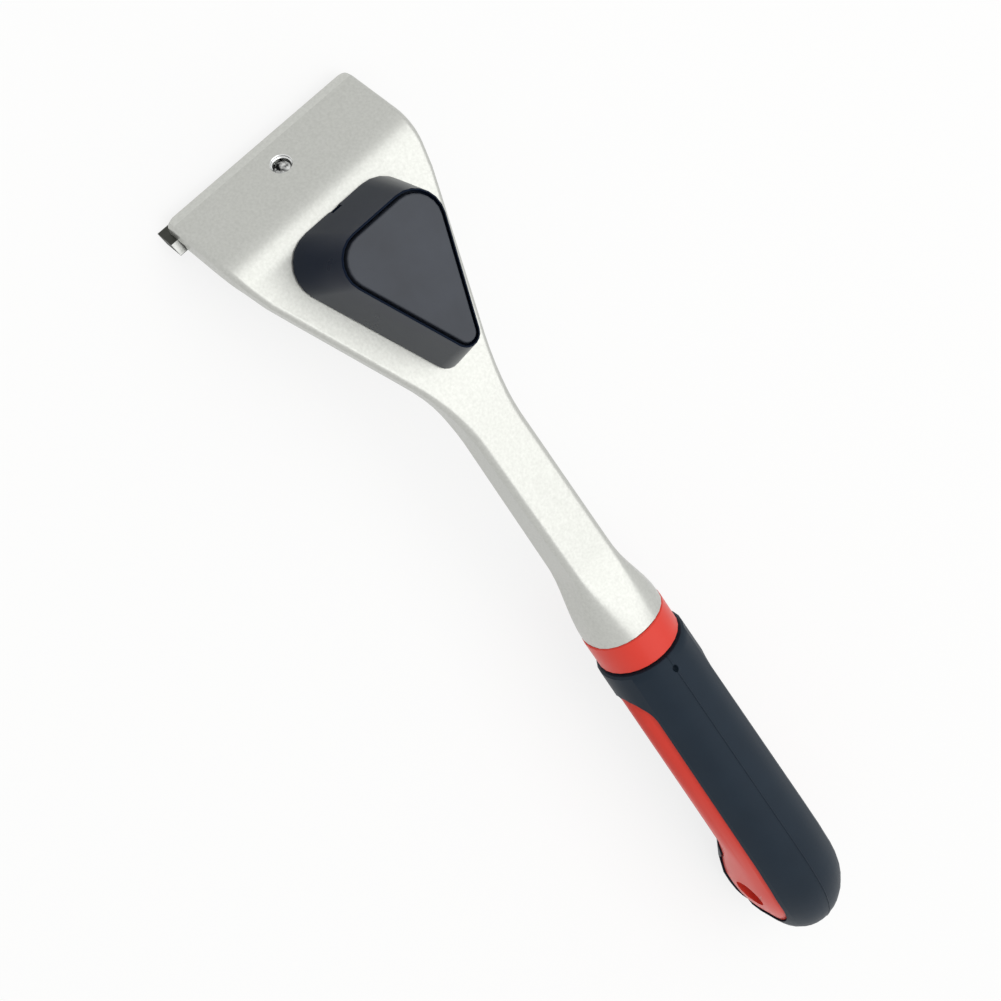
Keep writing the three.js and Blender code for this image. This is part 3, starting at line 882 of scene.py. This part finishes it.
@dataclass
class PalmKnob:
    """Three-cornered knob with its cap, and the two screws under the cap.

    Attributes:
        smooth_degrees: Edges that turn less than this are shaded smooth.
        screw_degrees: The same for the screws.
        nick_mm: Depth, width and height of the nick in the middle of the front.
        nick_above_mm: How far the nick lies above the foot.
    """

    smooth_degrees: float = 32
    screw_degrees: float = 30
    nick_mm: tuple[float, float, float] = (2.0, 3.0, 2.6)
    nick_above_mm: float = 0.35

    def build(self) -> None:
        """Builds and dresses the knob."""
        turn = self.smooth_degrees
        satin = KNOB_NYLON.build()
        knob = stand_for("knob_body", "palm_knob", Body.TOOL, satin, turn)
        carve(self.nick(knob), knob)
        smooth(knob, turn, keep_flat=True)
        # The cap's light cloudy patches are partly painted sheen
        cloudy = CAP_NYLON_WITH_SHEEN.build()
        stand_for("knob_cap", "palm_cap", Body.TOOL, cloudy, turn, keep_flat=True)
        zinc = ZINC_PLATE.build()
        for end in ("front", "rear"):
            stand_for(
                f"knob_screw_{end}",
                f"knob_fixing_{end}",
                Body.TOOL,
                zinc,
                self.screw_degrees,
            )

    def nick(self, knob: bpy.types.Object) -> bpy.types.Object:
        """Makes the form of the nick that the mould's gate leaves at the knob's foot.

        Args:
            knob: The knob, whose foot gives the place.

        Returns:
            A block across the front face, close above its foot.
        """
        up = Vector(mount_named("knob_top")["axis"])
        back = ACROSS.cross(up)
        front = min(vertex.co.dot(back) for vertex in knob.data.vertices)
        foot = min(vertex.co.dot(up) for vertex in knob.data.vertices)
        deselect()
        bpy.ops.mesh.primitive_cube_add(size=1)
        block = bpy.context.object
        depth, width, height = (size * MM for size in self.nick_mm)
        # Half of the block stands in front of the knob
        sizes = Matrix.Diagonal([2 * depth, width, height, 1])
        axes = Matrix((back, ACROSS, up)).transposed().to_4x4()
        middle = back * front + up * (foot + self.nick_above_mm * MM + height / 2)
        block.data.transform(Matrix.Translation(middle) @ axes @ sizes)
        return block


@dataclass
class Handle:
    """Red core with collar, strips and hang hole, and the soft grip moulded over it.

    Attributes:
        smooth_degrees: Edges that turn less than this are shaded smooth.
        ridge_width_mm: Width of the ridge that the mould's parting leaves along the grip.
        ridge_height_mm: Height of that ridge.
        ridge_facing: Least rise of the normals of the faces that the ridge lies on.
        gate_from_front_mm: How far behind the grip's front the pit of the mould's gate lies.
        gate_mm: Half of the pit's length, width and depth.
        gate_margin: Where the grip's faces are split before and behind the pit, in half lengths.
        gate_segments: Segments round the pit.
        gate_rings: Rings of the pit's form.
        probe_aside_mm: How far beside the middle the grip's surface is probed.
        probe_height_m: Height that it is probed from.
    """

    smooth_degrees: float = 34
    ridge_width_mm: float = 0.34
    ridge_height_mm: float = 0.12
    ridge_facing: float = 0.2
    gate_from_front_mm: float = 5.3
    gate_mm: tuple[float, float, float] = (1.3, 0.9, 1.8)
    gate_margin: float = 1.2
    gate_segments: int = 24
    gate_rings: int = 12
    probe_aside_mm: float = 0.1
    probe_height_m: float = 1.0

    def build(self) -> None:
        """Builds and dresses the handle."""
        turn = self.smooth_degrees
        red = CORE_POLYPROPYLENE.build()
        stand_for("handle_core", "red_core", Body.TOOL, red, turn)
        rubber = GRIP_RUBBER.build()
        grip = stand_for("handle_grip", "soft_grip", Body.TOOL, rubber, turn)
        ridge = dress(self.parting_ridge(grip), Body.TOOL, rubber)
        carve(self.gate(grip), grip, ridge)
        smooth(grip, turn)

    def gate(self, grip: bpy.types.Object) -> bpy.types.Object:
        """Makes the form of the pit that the mould's gate leaves on the grip's top line.

        Args:
            grip: The grip, whose surface gives the place.

        Returns:
            A rounded form at the surface of the grip.

        Raises:
            ValueError: The place lies off the grip.
        """
        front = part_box("handle_grip")[0].x + self.gate_from_front_mm * MM
        above = Vector((front, self.probe_aside_mm * MM, self.probe_height_m))
        bpy.context.view_layer.update()
        hit, place, _, _ = grip.ray_cast(above, -UP)
        if not hit:
            raise ValueError("the gate mark lies off the grip")
        for end in (-1, 1):
            split_across(grip, place.x + end * self.gate_margin * self.gate_mm[0] * MM)
        deselect()
        bpy.ops.mesh.primitive_uv_sphere_add(
            segments=self.gate_segments, ring_count=self.gate_rings, radius=1
        )
        pit = bpy.context.object
        sizes = Matrix.Diagonal([half * MM for half in self.gate_mm] + [1])
        pit.data.transform(Matrix.Translation((place.x, 0, place.z)) @ sizes)
        return pit

    def parting_ridge(self, grip: bpy.types.Object) -> bpy.types.Object:
        """Lifts a narrow band of the grip's top into the ridge of the mould's parting.

        Args:
            grip: The finished grip.

        Returns:
            The ridge, a closed band that follows the grip.
        """
        ridge = bpy.data.objects.new("parting_ridge", grip.data.copy())
        bpy.context.scene.collection.objects.link(ridge)
        half = self.ridge_width_mm / 2 * MM
        low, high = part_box("handle_grip")
        middle = (low + high) / 2
        for side in (-1, 1):
            with editing(ridge):
                bpy.ops.mesh.bisect(
                    plane_co=(0, side * half, 0), plane_no=(0, side, 0), clear_outer=True
                )
        for face in ridge.data.polygons:
            face.select = not (face.center.z > middle.z and face.normal.z > self.ridge_facing)
        bpy.ops.object.mode_set(mode="EDIT")
        bpy.ops.mesh.select_mode(type="FACE")
        bpy.ops.mesh.delete(type="FACE")
        bpy.ops.object.mode_set(mode="OBJECT")
        # Half of the band lies inside the grip
        apply_modifier(ridge, "SOLIDIFY", thickness=2 * self.ridge_height_mm * MM, offset=0.0)
        return ridge


@dataclass
class Studio:
    """White floor, soft overhead light and the camera.

    Attributes:
        eye_m: Place of the camera.
        right: Way to the right in the picture.
        up: Way up in the picture.
        focal_pixels: Focal length, in pixels of the picture.
        picture_pixels: Width and height of the picture.
        sensor_mm: Width of the camera's sensor.
        nearest_m: Where the camera starts to see.
        lamp_m: Place of the soft lamp.
        lamp_size_m: Length and width of the soft lamp.
        lamp_watts: Power of the soft lamp.
        sky: Strength of the even light from all round.
        floor_size_m: Length and width of the floor.
        floor_colour: Colour of the floor, sRGB.
        floor_glow: Share of plain white that the camera sees in the floor.
    """

    eye_m: tuple[float, float, float] = (-0.323262, -0.153801, 0.516739)
    right: tuple[float, float, float] = (0.506103, 0.702201, 0.500772)
    up: tuple[float, float, float] = (-0.713537, 0.667058, -0.214241)
    focal_pixels: float = 2200.0
    picture_pixels: float = 1001.0
    sensor_mm: float = 36.0
    nearest_m: float = 0.01
    lamp_m: tuple[float, float, float] = (-0.15, 0.3, 1.1)
    lamp_size_m: tuple[float, float] = (2.3, 1.5)
    lamp_watts: float = 12.3
    sky: float = 0.62
    floor_size_m: float = 6.0
    floor_colour: str = "#ececea"
    floor_glow: float = 0.8

    def build(self) -> None:
        """Builds the camera, the lamp, the world and the floor."""
        scene = bpy.context.scene
        scene.view_settings.view_transform = "Standard"
        scene.camera = self.camera()
        self.lamp()
        self.world()
        self.floor()

    def camera(self) -> bpy.types.Object:
        """Makes the camera at the picture's angle.

        Returns:
            The camera.
        """
        data = bpy.data.cameras.new("picture_camera")
        data.sensor_width = self.sensor_mm
        data.lens = self.sensor_mm * self.focal_pixels / self.picture_pixels
        data.clip_start = self.nearest_m
        camera = bpy.data.objects.new("picture_camera", data)
        right, up = Vector(self.right), Vector(self.up)
        axes = Matrix((right, up, right.cross(up))).transposed().to_4x4()
        camera.matrix_world = Matrix.Translation(Vector(self.eye_m)) @ axes
        bpy.context.scene.collection.objects.link(camera)
        return camera

    def lamp(self) -> None:
        """Makes the soft lamp, which shines straight down."""
        data = bpy.data.lights.new("softbox", "AREA")
        data.shape = "RECTANGLE"
        data.size, data.size_y = self.lamp_size_m
        data.energy = self.lamp_watts
        lamp = bpy.data.objects.new("softbox", data)
        lamp.location = self.lamp_m
        bpy.context.scene.collection.objects.link(lamp)

    def seen_white(self, tree: bpy.types.NodeTree) -> bpy.types.NodeSocket:
        """Finds the rays that show the background itself: seen straight, mirrored or through glass.

        Args:
            tree: Node tree that takes the nodes.

        Returns:
            Socket that is one for such rays.
        """
        rays = add_node(tree, "ShaderNodeLightPath")
        seen = rays.outputs["Is Camera Ray"]
        for kind in ("Is Glossy Ray", "Is Transmission Ray"):
            either = {0: seen, 1: rays.outputs[kind]}
            seen = add_node(tree, "ShaderNodeMath", either, operation="MAXIMUM").outputs[0]
        return seen

    def world(self) -> None:
        """Lights the tool evenly from all round, on a white background."""
        world = bpy.data.worlds.new("studio")
        bpy.context.scene.world = world
        world.use_nodes = True
        tree = world.node_tree
        tree.nodes.clear()
        seen = self.seen_white(tree)
        even = add_node(tree, "ShaderNodeBackground", {"Strength": self.sky, "Color": WHITE})
        white = add_node(tree, "ShaderNodeBackground", {"Strength": 1.0, "Color": WHITE})
        mix = add_node(
            tree, "ShaderNodeMixShader", {0: seen, 1: even.outputs[0], 2: white.outputs[0]}
        )
        add_node(tree, "ShaderNodeOutputWorld", {"Surface": mix.outputs[0]})

    def floor(self) -> None:
        """Lays a white floor that keeps the tool's shadow."""
        deselect()
        bpy.ops.mesh.primitive_plane_add(size=self.floor_size_m)
        floor = bpy.context.object
        floor.name = "studio_floor"
        material = bpy.data.materials.new("studio_floor")
        material.use_nodes = True
        tree = material.node_tree
        tree.nodes.clear()
        seen = self.seen_white(tree)
        matt = add_node(tree, "ShaderNodeBsdfDiffuse", {"Color": linear(self.floor_colour)})
        glow = add_node(tree, "ShaderNodeEmission", {"Strength": 1.0, "Color": WHITE})
        share = add_node(
            tree, "ShaderNodeMath", {0: seen, 1: self.floor_glow}, operation="MULTIPLY"
        )
        mix = add_node(
            tree,
            "ShaderNodeMixShader",
            {0: share.outputs[0], 1: matt.outputs[0], 2: glow.outputs[0]},
        )
        add_node(tree, "ShaderNodeOutputMaterial", {"Surface": mix.outputs[0]})
        floor.data.materials.append(material)


def main() -> None:
    """Builds the tool's sub-assemblies and the studio in order."""
    logging.basicConfig(level=logging.INFO, format="%(name)s: %(message)s")
    for part in (CastHead(), BladeClamp(), PalmKnob(), Handle(), Studio()):
        part.build()
        log.info("%s is built", type(part).__name__)


if __name__ == "__main__":
    main()
